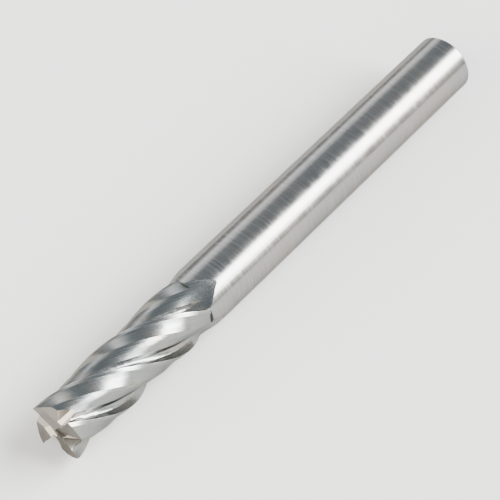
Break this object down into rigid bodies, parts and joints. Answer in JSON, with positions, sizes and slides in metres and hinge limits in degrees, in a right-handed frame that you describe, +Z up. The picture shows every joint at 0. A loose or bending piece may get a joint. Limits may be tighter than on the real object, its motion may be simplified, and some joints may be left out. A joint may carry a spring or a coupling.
{
  "type": "end mill",
  "caption": "Solid square end mill: plain round shank, helical flutes that run out into the shank, ground end teeth for milling slots, sides and faces.",
  "frame": {"origin": "centre of the shank's flat end face, on the tool axis", "axes": "+Y along the tool axis from the cutting end towards the shank end, so the whole tool lies at y <= 0; +Z up with the tool lying flat"},
  "size_m": [0.0064, 0.0635, 0.0064],
  "materials": {
    "ground_tool": "bright ground, uncoated"
  },
  "bodies": {
    "root": {"end_mill": "ground_tool"}
  },
  "joints": []
}
